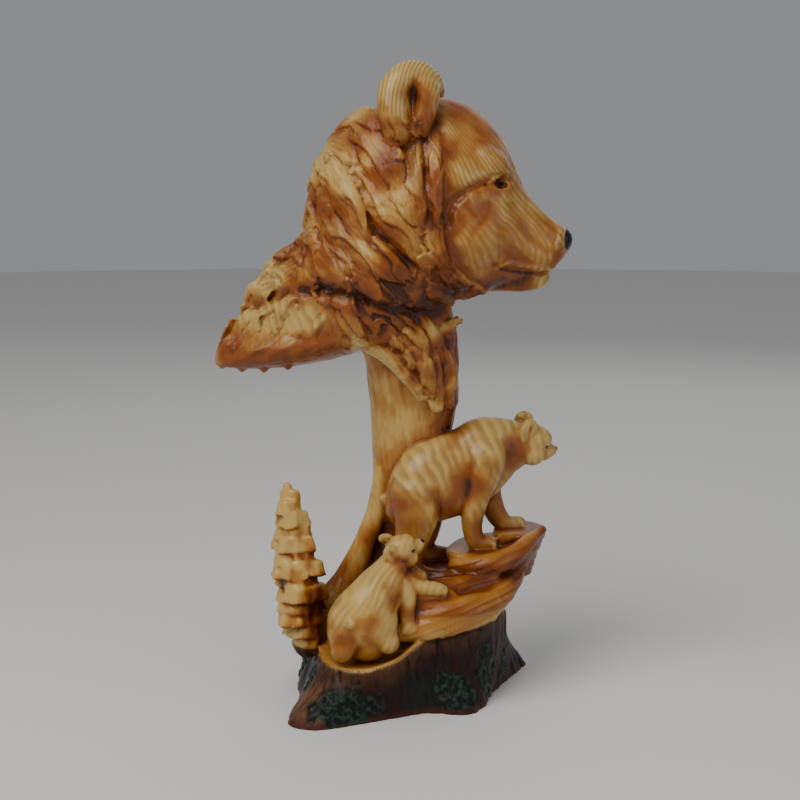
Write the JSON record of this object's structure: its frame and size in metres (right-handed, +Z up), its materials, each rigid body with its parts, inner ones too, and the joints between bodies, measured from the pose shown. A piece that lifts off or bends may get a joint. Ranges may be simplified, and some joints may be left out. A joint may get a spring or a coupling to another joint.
{
  "type": "faux wood bear statue",
  "caption": "Painted cast resin statue carved like wood: a shaggy bear bust on a trunk, with an adult bear, a cub and a ragged pine on a rooted stump.",
  "frame": {"origin": "middle of the bounding box at the underside of the stump", "axes": "+Z up, +X the way the big bear looks, -Y the side with the cub and the pine, which the picture shows"},
  "size_m": [0.1881, 0.1336, 0.3338],
  "materials": {
    "painted_resin": "glossy varnish over painted wood grain, honey tan with brown stain in the cuts, dark bark and green moss round the foot"
  },
  "bodies": {
    "root": {"bear_statue": "painted_resin"}
  },
  "joints": []
}
